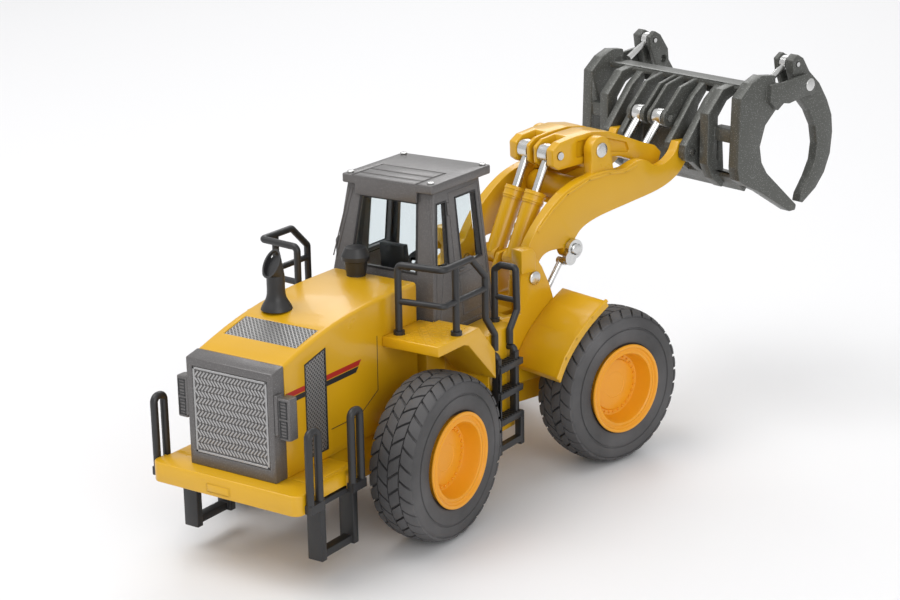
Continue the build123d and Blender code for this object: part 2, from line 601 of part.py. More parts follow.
fender_line = ((30.8, 44.0), (25.8, 41.0), (20.4, 36.6), (16.8, 32.4), (14.2, 27.6))
for word, side in SIDES:
    with BuildPart() as front_fender:
        with BuildSketch(Plane.XZ.offset(-max(side * 15.45, side * 31.2))) as profile:
            with BuildLine():
                outer_line = Spline(*fender_line)
                inner_line = Spline(*[(x + 1.0, z - 1.5) for x, z in fender_line])
                Line(outer_line @ 0, inner_line @ 0)
                Line(outer_line @ 1, inner_line @ 1)
            make_face()
        extrude(profile.sketch, amount=31.2 - 15.45)
        fillet(front_fender.edges().filter_by(lambda e: e.length < 3 and abs(e.center().Y) > 31.1
                                              and e.center().Z < 60), 0.4)
    finish(front_fender, f"front_fender_{word}", front_pieces)

with BuildPart() as frame_pins:
    for _, side in SIDES:
        cross_pin(boom_pivot, pin_radius, arm_inner - 0.6, tower_inner + tower_plate + 0.4, side)
        cross_pin(lift_base, pin_radius, 8.0, tower_inner + tower_plate - 0.2, side)
    cross_pin(tilt_base, pin_radius, -8.4, 8.4)
finish(frame_pins, "frame_pins", front_pieces)

# ------------------------------------------------------------------ lift arms
arm_top = ((20.2, 53.4), (24.8, 60.2), (29.7, 64.7), (34.7, 67.9), (42.4, 70.3), (49.8, 70.8), (55.6, 70.3),
           (59.6, 71.4), (63.1, 71.3), (67.4, 69.0), (71.2, 69.5), (74.6, 72.2))
arm_bottom = ((76.4, 66.0), (71.9, 63.6), (62.9, 61.6), (51.2, 60.0), (43.1, 58.4), (39.4, 56.6), (37.4, 54.6),
              (36.2, 53.8), (30.7, 53.4), (24.7, 50.4))
for word, side in SIDES:
    with BuildPart() as lift_arm:
        with BuildSketch(Plane.XZ.offset(-max(side * arm_inner, side * (arm_inner + arm_thickness)))) as profile:
            with BuildLine():
                crown = Spline(*arm_top)
                belly = Spline(*arm_bottom)
                Line(crown @ 1, (75.6, 74.2))
                Line((75.6, 74.2), (79.6, 74.0))
                Line((79.6, 74.0), (80.4, 70.6))
                Line((80.4, 70.6), belly @ 0)
                Line(belly @ 1, (22.0, 45.6))
                ThreePointArc((22.0, 45.6), (17.6, 48.4), crown @ 0)
            make_face()
        extrude(profile.sketch, amount=arm_thickness)
        cross_pin(lift_eye, 2.6, arm_inner, arm_inner + arm_thickness, side)
        plate(((44.6, 68.5), (44.6, 76.0), (51.4, 76.0), (53.0, 68.5)), 8.7, 11.7, side)
        cross_pin(bell_pivot, 3.5, 8.7, 11.7, side)
        for centre in (boom_pivot, grapple_pivot, bell_pivot, lift_eye):
            cross_pin(centre, pin_radius + running_gap, 5, 20, side, mode=Mode.SUBTRACT)
    finish(lift_arm, f"lift_arm_{word}", front_pieces)

with BuildPart() as boom_cross_member:
    cross_pin((45.5, 64.6), 3.6, -arm_inner, arm_inner)
    plate(((43.0, 60.4), (52.0, 62.0), (62.0, 64.0), (62.0, 66.0), (52.0, 64.4), (44.0, 62.6)), -arm_inner, arm_inner)
finish(boom_cross_member, "boom_cross_member", front_pieces)

with BuildPart() as boom_pins:
    cross_pin(bell_pivot, pin_radius, -11.9, 11.9)
    for _, side in SIDES:
        cross_pin(lift_eye, pin_radius, 9.4, 14.7, side)
finish(boom_pins, "boom_pins", front_pieces)

bell_outline = ((34.6, 73.4), (34.4, 77.6), (36.8, 79.2), (42.0, 80.0), (48.0, 80.4), (54.0, 79.6), (60.0, 77.4),
                (66.0, 75.0), (71.4, 73.2), (73.8, 71.0), (73.0, 68.4), (70.6, 67.9), (66.0, 69.4), (58.0, 72.4),
                (50.0, 72.9), (44.0, 72.5), (36.4, 72.2))
for word, side in SIDES:
    with BuildPart() as bellcrank:
        plate(bell_outline, bell_inner, bell_inner + bell_thickness, side, radius=0.7)
        block((30, 41.2), side_range(cylinder_y - 1.9, cylinder_y + 1.9, side), (60, 90), mode=Mode.SUBTRACT)
        block((66.4, 90), side_range(cylinder_y - 1.9, cylinder_y + 1.9, side), (60, 90), mode=Mode.SUBTRACT)
        cross_pin(bell_pivot, pin_radius + running_gap, 0, 12, side, mode=Mode.SUBTRACT)
        cross_pin(bell_rear_pin, pin_radius + running_gap, 0, 12, side, mode=Mode.SUBTRACT)
        for pocket in (((42.6, 74.4), (46.4, 74.4), (46.4, 78.6), (42.6, 78.6)),
                       ((53.0, 74.4), (62.0, 72.8), (60.8, 75.6), (53.0, 78.0))):
            plate(pocket, bell_inner + bell_thickness - 0.8, bell_inner + bell_thickness + 1, side,
                  mode=Mode.SUBTRACT, radius=0.6)
    finish(bellcrank, f"bellcrank_{word}", front_pieces)

with BuildPart() as tilt_pins:
    for _, side in SIDES:
        cross_pin(bell_rear_pin, pin_radius, bell_inner - 0.3, bell_inner + bell_thickness + 0.2, side)
finish(tilt_pins, "tilt_pins", front_pieces)

# ------------------------------------------------------------------ hydraulic cylinders and links
with BuildPart() as tilt_barrels:
    for _, side in SIDES:
        y = side * cylinder_y
        cross_pin(tilt_base, 2.3, cylinder_y - 2.2, cylinder_y + 2.2, side)
        rod(tilt_base, along(tilt_base, bell_rear_pin, 16.6), 2.5, y)
        rod(along(tilt_base, bell_rear_pin, 14.8), along(tilt_base, bell_rear_pin, 18.0), 2.75, y)
        rod(along(tilt_base, bell_rear_pin, 4.6), along(tilt_base, bell_rear_pin, 30.0), tilt_bore, y,
            mode=Mode.SUBTRACT)
    cross_pin(tilt_base, pin_radius + running_gap, -9, 9, mode=Mode.SUBTRACT)
finish(tilt_barrels, "tilt_barrels", front_pieces)

with BuildPart() as tilt_rods:
    for _, side in SIDES:
        rod(along(tilt_base, bell_rear_pin, 8.6), bell_rear_pin, tilt_rod_radius, side * cylinder_y)
        cross_pin(bell_rear_pin, 2.5, cylinder_y - 1.6, cylinder_y + 1.6, side)
        cross_pin(bell_rear_pin, pin_radius + running_gap, 0, 9, side, mode=Mode.SUBTRACT)
finish(tilt_rods, "tilt_rods", front_pieces)

with BuildPart() as tilt_links:
    for _, side in SIDES:
        rod(link_pin, bell_front_pin, 1.1, side * cylinder_y)
        cross_pin(link_pin, 2.3, cylinder_y - 1.5, cylinder_y + 1.5, side)
        cross_pin(bell_front_pin, 1.7, cylinder_y - 1.4, cylinder_y + 1.4, side)
        cross_pin(link_pin, pin_radius + running_gap, 0, 9, side, mode=Mode.SUBTRACT)
finish(tilt_links, "tilt_links", front_pieces)

lift_y = arm_inner + arm_thickness / 2
with BuildPart() as lift_barrels:
    for _, side in SIDES:
        y = side * lift_y
        cross_pin(lift_base, 2.2, lift_y - 1.4, lift_y + 1.4, side)
        rod(lift_base, along(lift_base, lift_eye, 14.2), 1.5, y)
        rod(along(lift_base, lift_eye, 3.4), along(lift_base, lift_eye, 20.0), lift_bore, y, mode=Mode.SUBTRACT)
        cross_pin(lift_base, pin_radius + running_gap, 0, 20, side, mode=Mode.SUBTRACT)
finish(lift_barrels, "lift_barrels", front_pieces)

rod_end = along(lift_eye, lift_base, 2.6)
with BuildPart() as lift_rods:
    for _, side in SIDES:
        rod(along(lift_base, lift_eye, 11.1), along(lift_eye, lift_base, 3.6), lift_rod_radius, side * lift_y)
        cross_pin(along(lift_eye, lift_base, 3.9), 0.9, lift_y - 0.9, 13.2, side)
        cross_pin(rod_end, 1.9, 13.1, 14.4, side)
        cross_pin(lift_eye, 2.5, 13.1, 14.4, side)
        cross_pin(lift_eye, pin_radius + running_gap, 12, 16, side, mode=Mode.SUBTRACT)
finish(lift_rods, "lift_rods", front_pieces)

# ------------------------------------------------------------------ grapple
tine_outline = ((81.4, 87.0), (85.4, 90.4), (89.4, 92.0), (94.6, 91.4), (94.8, 88.4), (98.6, 84.4), (95.0, 82.0),
                (91.2, 78.6), (89.3, 73.2), (90.2, 68.8), (92.4, 65.6), (104.8, 54.8), (104.4, 53.4), (102.2, 53.4),
                (90.4, 60.6), (84.6, 63.4), (81.6, 65.2), (80.8, 68.6))
rib_outline = ((79.0, 82.0), (84.6, 87.8), (89.4, 88.6), (89.4, 86.0), (86.0, 84.6), (82.8, 80.8), (82.8, 69.6),
               (86.4, 64.4), (85.0, 61.4), (81.2, 64.4), (79.0, 68.6))
lug_outline = ((75.2, 70.0), (75.4, 73.4), (84.6, 84.6), (89.6, 88.4), (89.6, 85.4), (86.6, 82.0), (84.4, 76.0),
               (84.6, 64.0), (81.0, 66.4), (78.2, 68.8))
link_rib = ((76.2, 78.6), (77.2, 81.2), (82.6, 86.8), (89.6, 88.6), (89.6, 86.2), (84.6, 82.4), (84.0, 74.6),
            (81.6, 75.2))
with BuildPart() as grapple_frame:
    for _, side in SIDES:
        plate(tine_outline, grapple_outer - side_plate, grapple_outer, side, radius=0.5)
        plate(rib_outline, 17.0, 20.0, side, radius=0.4)
        plate(lug_outline, arm_inner + arm_thickness + body_gap, 15.5, side, radius=0.4)
        cross_pin(grapple_pivot, 2.7, arm_inner + arm_thickness + body_gap, 15.5, side)
        plate(lug_outline, arm_inner - 2.3, arm_inner - body_gap, side, radius=0.4)
        cross_pin(grapple_pivot, 2.7, arm_inner - 2.3, arm_inner - body_gap, side)
        plate(link_rib, 0.7, 1.8, side, radius=0.3)
        plate(link_rib, 5.6, 6.9, side, radius=0.3)
        for low, high in ((0.7, 1.8), (5.6, 6.9)):
            cross_pin(link_pin, 2.5, low, high, side)
        block((81.5, 85.2), side_range(19.0, 26.0, side), (74.8, 78.4))
        plate(((93.0, 84.6), (95.6, 89.4), (105.6, 90.6), (109.4, 88.6), (108.6, 84.8), (104.4, 84.6), (98.6, 83.6)),
              grapple_outer + 0.55, grapple_outer + 1.7, side, radius=0.5)
        plate(((91.0, 85.0), (91.4, 89.6), (95.6, 89.4), (97.6, 84.8), (94.0, 82.4)), grapple_outer - 0.2,
              grapple_outer + 1.7, side, radius=0.4)
    plate(((88.6, rail_z - 1.6), (88.6, rail_z), (94.2, rail_z), (94.2, rail_z - 4.4), (92.8, rail_z - 4.4),
           (92.8, rail_z - 1.6)), side_plate - grapple_outer, grapple_outer - side_plate)
    plate(((83.2, 76.6), (84.8, 76.6), (85.6, 66.6), (89.0, 62.6), (87.6, 60.8), (83.2, 65.0)), side_plate - grapple_outer,
          grapple_outer - side_plate)
    for _, side in SIDES:
        block((82.0, 86.6), side_range(19.8, 25.8, side), (66.4, 74.8), mode=Mode.SUBTRACT)
        block((90.2, 99.0), side_range(24.1, 26.6, side), (80.5, 93.0), mode=Mode.SUBTRACT)
    for _, side in SIDES:
        cross_pin(grapple_pivot, pin_radius, 5, 18, side, mode=Mode.SUBTRACT)
        cross_pin(link_pin, pin_radius, 0, 7.5, side, mode=Mode.SUBTRACT)
        cross_pin(clamp_pivot, pin_radius, 20, 34, side, mode=Mode.SUBTRACT)
finish(grapple_frame, "grapple_frame", front_pieces)

with BuildPart() as grapple_pins:
    for _, side in SIDES:
        cross_pin(grapple_pivot, pin_radius, arm_inner - 2.6, 15.9, side)
        cross_pin(link_pin, pin_radius, 0.6, 7.1, side)
        cross_pin(clamp_pivot, pin_radius, grapple_outer - 5.0, grapple_outer + 2.0, side)
finish(grapple_pins, "grapple_pins", front_pieces)

claw_outline = ((101.6, 91.0), (101.0, 94.4), (103.2, 95.8), (105.4, 94.6), (108.0, 90.8), (112.4, 87.0), (115.8, 82.1),
                (118.0, 77.6), (118.6, 72.8), (118.0, 67.0), (115.8, 62.0), (112.4, 58.2), (107.2, 55.0), (105.8, 55.4),
                (106.4, 57.6), (109.4, 61.6), (111.8, 66.0), (112.4, 70.6), (111.4, 75.4), (108.6, 80.0), (104.6, 84.0),
                (103.4, 87.0))
ear_outline = ((101.6, 91.0), (101.0, 94.4), (103.2, 95.8), (105.4, 94.6), (108.6, 90.2), (109.0, 86.6), (106.6, 84.8),
               (104.0, 85.6))
for word, side in SIDES:
    with BuildPart() as clamp_arm:
        plate(claw_outline, grapple_outer - 2.5, grapple_outer + 0.2, side, radius=0.4)
        plate(ear_outline, grapple_outer - 6.4, grapple_outer - 4.9, side, radius=0.4)
        cross_pin(clamp_pivot, 2.3, grapple_outer - 5.0, grapple_outer - 2.4, side)
        cross_pin(clamp_pivot, pin_radius + running_gap, 20, 34, side, mode=Mode.SUBTRACT)
        cross_pin(clamp_rod_pin, 0.7, 20, 34, side, mode=Mode.SUBTRACT)
    finish(clamp_arm, f"clamp_arm_{word}", front_pieces)

    with BuildPart() as clamp_rod:
        rod_y = grapple_outer - 3.7
        rod(along(clamp_rod_pin, clamp_base, 9.0), clamp_rod_pin, 0.85, side * rod_y)
        cross_pin(clamp_rod_pin, 1.9, rod_y - 0.95, rod_y + 0.95, side)
        cross_pin(clamp_rod_pin, 0.7 - running_gap, grapple_outer - 6.6, grapple_outer + 0.4, side)
    finish(clamp_rod, f"clamp_rod_{word}", front_pieces)

# ------------------------------------------------------------------ place and write
names = [piece.label for piece in rear_pieces + front_pieces]
placed = rear_pieces + [piece.rotate(Axis.Z, steer_at_rest) for piece in front_pieces]
boxes = [piece.bounding_box() for piece in placed]
origin_x = (min(box.min.X for box in boxes) + max(box.max.X for box in boxes)) / 2
origin_y = (min(box.min.Y for box in boxes) + max(box.max.Y for box in boxes)) / 2

os.makedirs("parts", exist_ok=True)
for name, piece in zip(names, placed):
    moved = piece.moved(Location((-origin_x, -origin_y, 0)))
    moved.label = name
    export_step(moved, f"parts/{name}.step")
print("nodes", len(names), "origin offset", round(origin_x, 2), round(origin_y, 2))
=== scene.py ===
# %% [markdown]
# A toy log loader, 1:50, stands on a pale table. The engineering model gives every part its size and
# its joint; here each part gets its finish, and the tyres, grille, stripes, pins and small trim that a
# solid model leaves plain are modelled on top.

# %% Load the fixed frame
import json
from math import atan2, cos, pi, radians, sin

import bmesh
import bpy
from mathutils import Matrix, Vector


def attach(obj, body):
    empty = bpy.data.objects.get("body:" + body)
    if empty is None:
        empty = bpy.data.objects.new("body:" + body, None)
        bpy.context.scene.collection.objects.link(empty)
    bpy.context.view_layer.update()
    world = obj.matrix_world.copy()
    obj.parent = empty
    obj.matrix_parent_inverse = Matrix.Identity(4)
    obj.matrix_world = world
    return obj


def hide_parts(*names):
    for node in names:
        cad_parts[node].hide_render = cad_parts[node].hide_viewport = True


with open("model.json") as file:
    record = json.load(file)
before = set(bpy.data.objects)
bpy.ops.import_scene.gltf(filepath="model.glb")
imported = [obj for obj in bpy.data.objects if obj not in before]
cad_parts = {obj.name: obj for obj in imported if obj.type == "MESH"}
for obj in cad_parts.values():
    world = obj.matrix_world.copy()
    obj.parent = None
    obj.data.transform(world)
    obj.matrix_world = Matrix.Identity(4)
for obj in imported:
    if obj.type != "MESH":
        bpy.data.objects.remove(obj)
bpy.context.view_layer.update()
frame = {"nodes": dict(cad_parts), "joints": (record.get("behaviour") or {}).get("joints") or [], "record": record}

mm = 0.001
joints = {joint["name"]: joint for joint in frame["joints"]}
nodes = frame["nodes"]

# %% [markdown]
# The model bends in the middle. The rear half lies along X. The front half is turned about the steering
# pin, so its pieces are easiest to make in its own straight frame and then turned. Both frames share the
# pin as their origin, on the ground.

# %% Two working frames
pin = Vector(joints["steer"]["pos_m"])
front_turn = -radians(15.4)
rear_frame = Matrix.Translation((pin.x, pin.y, 0))
front_frame = rear_frame @ Matrix.Rotation(front_turn, 4, "Z")
print("steering pin", tuple(round(value, 4) for value in pin))

# %% [markdown]
# The camera looks from behind on the right, a little above, through a long lens, as for a catalogue.
# Its place is an angle and a distance from a point above the steering pin, moved a few millimetres
# sideways and up so that the whole model sits in the frame.

# %% Camera
view_turn = radians(-55.9)
view_height = radians(17.2)
view_roll = radians(-0.9)
view_distance = 0.5136
aim = Vector((pin.x, pin.y, 0.035))
back = Vector((sin(view_turn) * cos(view_height), -cos(view_turn) * cos(view_height), sin(view_height)))
right = (-back).cross(Vector((0, 0, 1))).normalized()
up = right.cross(-back)
right, up = (right * cos(view_roll) + up * sin(view_roll), up * cos(view_roll) - right * sin(view_roll))
camera = bpy.data.objects.new("camera", bpy.data.cameras.new("camera"))
bpy.context.scene.collection.objects.link(camera)
camera.matrix_world = Matrix((
    (right.x, up.x, back.x, 0), (right.y, up.y, back.y, 0), (right.z, up.z, back.z, 0), (0, 0, 0, 1)))
camera.location = aim + back * view_distance + right * 0.0048 + up * 0.0084
camera.data.lens = 82
camera.data.sensor_width = 36
camera.data.clip_start = 0.01
bpy.context.scene.camera = camera
print("camera at", tuple(round(value, 3) for value in camera.location))

# %% [markdown]
# A shader is a small sum: noise times a strength, plus a base colour, and so on. Wrapping a node's
# output in a class with Python's own operators lets that sum be written as one line, and each operator
# adds the Math node it stands for.


# %% Shader sockets as Python values
class Value:
    """A number that varies over the surface."""

    def __init__(self, graph, socket):
        self.graph = graph
        self.socket = socket

    def _math(self, operation, first, second=0.0):
        return self.graph.node("ShaderNodeMath", {"operation": operation}, {0: first, 1: second})

    def __add__(self, other):
        return self._math("ADD", self, other)

    __radd__ = __add__

    def __sub__(self, other):
        return self._math("SUBTRACT", self, other)

    def __rsub__(self, other):
        return self._math("SUBTRACT", other, self)

    def __mul__(self, other):
        return self._math("MULTIPLY", self, other)

    __rmul__ = __mul__

    def __lt__(self, other):
        return self._math("LESS_THAN", self, other)

    def __abs__(self):
        return self._math("ABSOLUTE", self)

    def sine(self):
        return self._math("SINE", self)

    def power(self, exponent):
        return self._math("POWER", self, exponent)

    def maximum(self, other):
        return self._math("MAXIMUM", self, other)


class Graph:
    """One material and its nodes."""

    def __init__(self, name, colour, roughness, metallic=0.0, coat=0.0, coat_roughness=0.03):
        self.material = bpy.data.materials.new(name)
        self.material.use_nodes = True
        self.tree = self.material.node_tree
        self.shader = self.tree.nodes["Principled BSDF"]
        self.material.diffuse_color = (*colour, 1)
        for socket, value in (("Base Color", (*colour, 1)), ("Roughness", roughness),
                              ("Metallic", metallic), ("Coat Weight", coat),
                              ("Coat Roughness", coat_roughness)):
            self.shader.inputs[socket].default_value = value

    def node(self, kind, settings=None, sockets=None, output=0):
        made = self.tree.nodes.new(kind)
        for name, value in (settings or {}).items():
            setattr(made, name, value)
        for name, value in (sockets or {}).items():
            self.feed(made.inputs[name], value)
        return Value(self, made.outputs[output])

    def feed(self, socket, value):
        if isinstance(value, Value):
            self.tree.links.new(value.socket, socket)
        else:
            socket.default_value = value

    def set(self, name, value):
        self.feed(self.shader.inputs[name], value)

    def place(self):
        return self.node("ShaderNodeTexCoord", output=3)

    def axes(self):
        made = self.node("ShaderNodeSeparateXYZ", sockets={0: self.place()}).socket.node
        return tuple(Value(self, made.outputs[index]) for index in range(3))

    def noise(self, scale, detail=2.0):
        return self.node("ShaderNodeTexNoise",
                         sockets={"Vector": self.place(), "Scale": scale, "Detail": detail})

    def cells(self, scale):
        return self.node("ShaderNodeTexVoronoi", sockets={"Vector": self.place(), "Scale": scale})

    def mix(self, factor, first, second):
        return self.node("ShaderNodeMix", {"data_type": "RGBA"}, {0: factor, 6: first, 7: second},
                         output=2)

    def bump(self, height, distance, strength=1.0):
        self.set("Normal", self.node("ShaderNodeBump", sockets={"Height": height, "Distance": distance,
                                                                "Strength": strength}))


def shade(colour, factor):
    return (*(channel * factor for channel in colour), 1)


# %% [markdown]
# The yellow is a glossy enamel over die-cast metal and moulded plastic. Real enamel is never one flat
# value: it pools slightly darker in places and has a fine orange peel, so low noise shifts the colour and
# a high, very shallow noise bends the reflections.


# %% Enamel and moulded plastics
def enamel(name, colour, roughness, coat, peel=0.00002):
    graph = Graph(name, colour, roughness, coat=coat)
    drift = graph.noise(38, 3)
    graph.set("Base Color", graph.mix(drift, shade(colour, 0.9), shade(colour, 1.08)))
    graph.set("Roughness", roughness + (graph.noise(160, 4) - 0.5) * 0.12)
    graph.bump(graph.noise(900, 2), peel, 0.5)
    return graph.material


yellow = enamel("yellow_enamel", (0.66, 0.360, 0.006), 0.30, 0.14)
orange = enamel("rim_plastic", (0.80, 0.335, 0.008), 0.38, 0.08)
stripe_red = enamel("stripe_red", (0.42, 0.020, 0.012), 0.34, 0.1)
print("made", yellow.name, orange.name, stripe_red.name)

# %% [markdown]
# Black plastic parts come out of an eroded mould: half matt, with a fine grain and a little grey dust.
# The cab and the radiator surround are sprayed with a charcoal that holds metal flake, so tiny cells of
# brighter grey sit in it.


# %% Black and charcoal
def moulded_black(name, colour, roughness):
    graph = Graph(name, colour, roughness)
    graph.set("Base Color", graph.mix(graph.noise(60, 4), shade(colour, 0.75), shade(colour, 1.5)))
    graph.set("Roughness", roughness + (graph.noise(300, 3) - 0.5) * 0.2)
    graph.bump(graph.noise(2600, 2), 0.00003, 0.5)
    return graph.material


def flake_paint(name, colour, roughness, scale, flake_colour, amount):
    graph = Graph(name, colour, roughness, metallic=0.35)
    flakes = graph.cells(scale) < amount
    body = graph.mix(graph.noise(45, 3), shade(colour, 0.88), shade(colour, 1.14))
    graph.set("Base Color", graph.mix(flakes * graph.noise(scale * 0.6), body, flake_colour))
    graph.set("Roughness", roughness + (graph.noise(240, 3) - 0.5) * 0.14)
    graph.bump(graph.noise(scale * 0.7, 2), 0.00004, 0.6)
    return graph.material


black = moulded_black("black_plastic", (0.017, 0.017, 0.018), 0.42)
charcoal = flake_paint("charcoal_flake", (0.125, 0.119, 0.118), 0.38, 3400,
                       (0.3, 0.29, 0.29, 1), 0.26)
grille_grey = flake_paint("grille_grey", (0.36, 0.355, 0.355), 0.34, 3000,
                          (0.5, 0.49, 0.49, 1), 0.22)
hammered = flake_paint("grapple_paint", (0.092, 0.094, 0.086), 0.40, 2100,
                       (0.34, 0.35, 0.34, 1), 0.24)
print("made", black.name, charcoal.name, hammered.name)


# %% [markdown]
# Rods and pins are plated steel. Plating shows faint marks of the metal below it, so the colour and the
# roughness both vary a little. The tyres are matt rubber that greys where dust settles.

# %% Metal, rubber and glass
def plated():
    colour = (0.72, 0.72, 0.71)
    graph = Graph("plated_steel", colour, 0.22, metallic=1.0)
    graph.set("Base Color", graph.mix(graph.noise(220, 3), shade(colour, 0.82), shade(colour, 1.08)))
    graph.set("Roughness", 0.16 + graph.noise(700, 4) * 0.2)
    return graph.material


def rubber():
    colour = (0.044, 0.043, 0.044)
    graph = Graph("tyre_rubber", colour, 0.7)
    dust = graph.noise(55, 5).power(2.0)
    graph.set("Base Color", graph.mix(dust, shade(colour, 0.8), (0.20, 0.195, 0.20, 1)))
    graph.set("Roughness", 0.58 + graph.noise(400, 3) * 0.22)
    graph.bump(graph.noise(1800, 3), 0.00005, 0.6)
    return graph.material


def window_plastic():
    colour = (0.86, 0.90, 0.91)
    graph = Graph("window_plastic", colour, 0.04)
    graph.shader.inputs["Transmission Weight"].default_value = 1.0
    graph.shader.inputs["IOR"].default_value = 1.05
    graph.set("Base Color", graph.mix(graph.noise(70, 2), shade(colour, 0.93), shade(colour, 1.0)))
    graph.set("Roughness", 0.02 + graph.noise(500, 3) * 0.05)
    return graph.material


steel = plated()
tyre_rubber = rubber()
glass = window_plastic()
print("made", steel.name, tyre_rubber.name, glass.name)

# %% [markdown]
# The hood's air inlets are thin plates with an etched lattice of small diamonds. On a plate this small
# the lattice is a print: two families of slanting lines cross, dark between and bright on the wires.


# %% Etched lattice
def lattice(name, along_axis, across_axis, pitch):
    graph = Graph(name, (0.2, 0.2, 0.2), 0.4, metallic=0.6)
    axes = graph.axes()
    along = axes[along_axis] * (2 * pi / pitch)
    across = axes[across_axis] * (2 * pi / pitch)
    wires = abs((along + across).sine()).power(3).maximum(abs((along - across).sine()).power(3))
    graph.set("Base Color", graph.mix(wires, (0.025, 0.025, 0.027, 1), (0.36, 0.355, 0.35, 1)))
    graph.set("Roughness", 0.5 - wires * 0.15)
    graph.bump(wires, 0.00012, 0.8)
    return graph.material


side_lattice = lattice("etched_side_mesh", 0, 2, 0.0021)
top_lattice = lattice("etched_top_mesh", 0, 1, 0.0021)
print("made", side_lattice.name, top_lattice.name)

# %% [markdown]
# Each engineering part names a finish slot, so most parts take their material from that name.

# %% Finishes by slot
finishes = {"yellow_paint": yellow, "orange_plastic": orange, "charcoal_paint": charcoal,
            "black_plastic": black, "etched_mesh": side_lattice, "grapple_paint": hammered,
            "bright_steel": steel, "tyre_rubber": tyre_rubber, "window_glass": glass}
for entry in frame["record"]["subparts"]:
    holder = nodes[entry["node"]]
    holder.data.materials.clear()
    holder.data.materials.append(finishes[entry["material_slot"]])
nodes["hood_top_mesh"].data.materials[0] = top_lattice

# %% [markdown]
# Every new piece is built as a bmesh in millimetres in one of the two working frames, and is then put
# in its place with its mesh, so that its object stays at the origin like the engineering parts. Edges
# that turn less than the given angle are shaded smooth.


# %% From a bmesh to a finished piece
weld_distance = 0.0005


def finish_piece(name, shape, finish, body, place=rear_frame, stands_for=(), smooth=32,
                 keep_flat=False):
    """Weld, place, paint and attach a shape. keep_flat leaves each face's own shading."""
    bmesh.ops.remove_doubles(shape, verts=shape.verts, dist=weld_distance)
    bmesh.ops.recalc_face_normals(shape, faces=shape.faces)
    bmesh.ops.transform(shape, matrix=place @ Matrix.Scale(mm, 4), verts=shape.verts)
    mesh = bpy.data.meshes.new(name)
    shape.to_mesh(mesh)
    shape.free()
    if not keep_flat:
        mesh.polygons.foreach_set("use_smooth", [True] * len(mesh.polygons))
    mesh.set_sharp_from_angle(angle=radians(smooth))
    mesh.materials.append(finish)
    piece = bpy.data.objects.new(name, mesh)
    bpy.context.scene.collection.objects.link(piece)
    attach(piece, body)
    if stands_for:
        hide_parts(*stands_for)
    print(name, len(mesh.polygons), "faces")
    return piece


def add_block(shape, low, high, bevel=0.0, turn=None, place=None, segments=2):
    """A box between two corners of a place, with its edges rounded."""
    middle = (Vector(low) + Vector(high)) / 2
    size = Vector(high) - Vector(low)
    matrix = ((place or Matrix()) @ Matrix.Translation(middle) @ (turn or Matrix())
              @ Matrix.Diagonal((*size, 1)))
    made = bmesh.ops.create_cube(shape, size=1, matrix=matrix)["verts"]
    if bevel:
        edges = list({edge for vert in made for edge in vert.link_edges})
        bmesh.ops.bevel(shape, geom=edges, offset=bevel, segments=segments, profile=0.5,
                        affect="EDGES", material=-1)


def add_lathe(shape, profile, axis_place, steps):
    """A (radius, height) line spun round the Z axis of a place."""
    verts = [shape.verts.new(axis_place @ Vector((radius, 0, height))) for radius, height in profile]
    edges = [shape.edges.new(pair) for pair in zip(verts, verts[1:])]
    centre = axis_place.translation
    axis = axis_place.to_3x3() @ Vector((0, 0, 1))
    bmesh.ops.spin(shape, geom=verts + edges, cent=centre, axis=axis, angle=2 * pi, steps=steps,
                   use_merge=True)


def side_place(x, y, z, side):
    """A place whose Z axis points out of one side of the machine."""
    return Matrix.Translation((x, y, z)) @ Matrix.Rotation(-side * pi / 2, 4, "X")


def wall_place(origin, across, upward):
    """A place on a flat wall: X runs across it, Y up it and Z out of it."""
    across, upward = Vector(across).normalized(), Vector(upward).normalized()
    outward = across.cross(upward)
    return Matrix((
        (across.x, upward.x, outward.x, origin[0]), (across.y, upward.y, outward.y, origin[1]),
        (across.z, upward.z, outward.z, origin[2]), (0, 0, 0, 1)))


def add_bar(shape, start, end, width, low, high, place=None, bevel=0.06):
    """A rounded bar between two points of a place's XY plane, from low to high above it."""
    start, end = Vector(start), Vector(end)
    run = end - start
    middle = (start + end) / 2
    centre = Vector((middle.x, middle.y, (low + high) / 2))
    half = Vector((run.length / 2 + width / 2, width / 2, (high - low) / 2))
    turn = Matrix.Rotation(atan2(run.y, run.x), 4, "Z")
    add_block(shape, centre - half, centre + half, bevel, turn, place, 1)


def add_outline(shape, corners, width, low, high, place=None):
    """Bars round a closed outline."""
    for start, end in zip(corners, corners[1:] + corners[:1]):
        add_bar(shape, start, end, width, low, high, place)


print("piece helpers ready")

# %% [markdown]
# A loader tyre has a rounded crown cut into rows of slanting blocks that meet in a zigzag, a plain
# shoulder and a flat sidewall with one moulded step. The carcass is a profile spun round the axle. One
# tread block is made flat, sheared to its slant, wrapped to the crown and copied round.

# %% Wheel sizes
tyre_radius = 20.0
half_width = 6.0
half_track = 26.3
half_base = 36.4
tread_rows = (-4.35, -1.45, 1.45, 4.35)
blocks_round = 32
crown_drop = 1.15
crown_reach = 5.85
crown_power = 2.6
block_length = 3.22
block_width = 2.62
block_slant = 0.78
block_foot = 18.4
block_rim_drop = 0.12


def crown(offset):
    """The tread's radius at a distance from the tyre's middle."""
    return tyre_radius - crown_drop * (abs(offset) / crown_reach) ** crown_power


carcass = [(10.45, 4.4), (11.6, 5.2), (11.75, 5.75), (12.1, 5.95), (15.2, 6.0), (15.3, 5.72), (15.65, 5.72),
           (15.8, 5.98), (17.6, 5.9), (18.25, 5.62), (18.7, 5.15), (18.75, 4.3), (19.05, 2.6), (19.2, 0.0)]
carcass = carcass + [(radius, -height) for radius, height in reversed(carcass[:-1])]


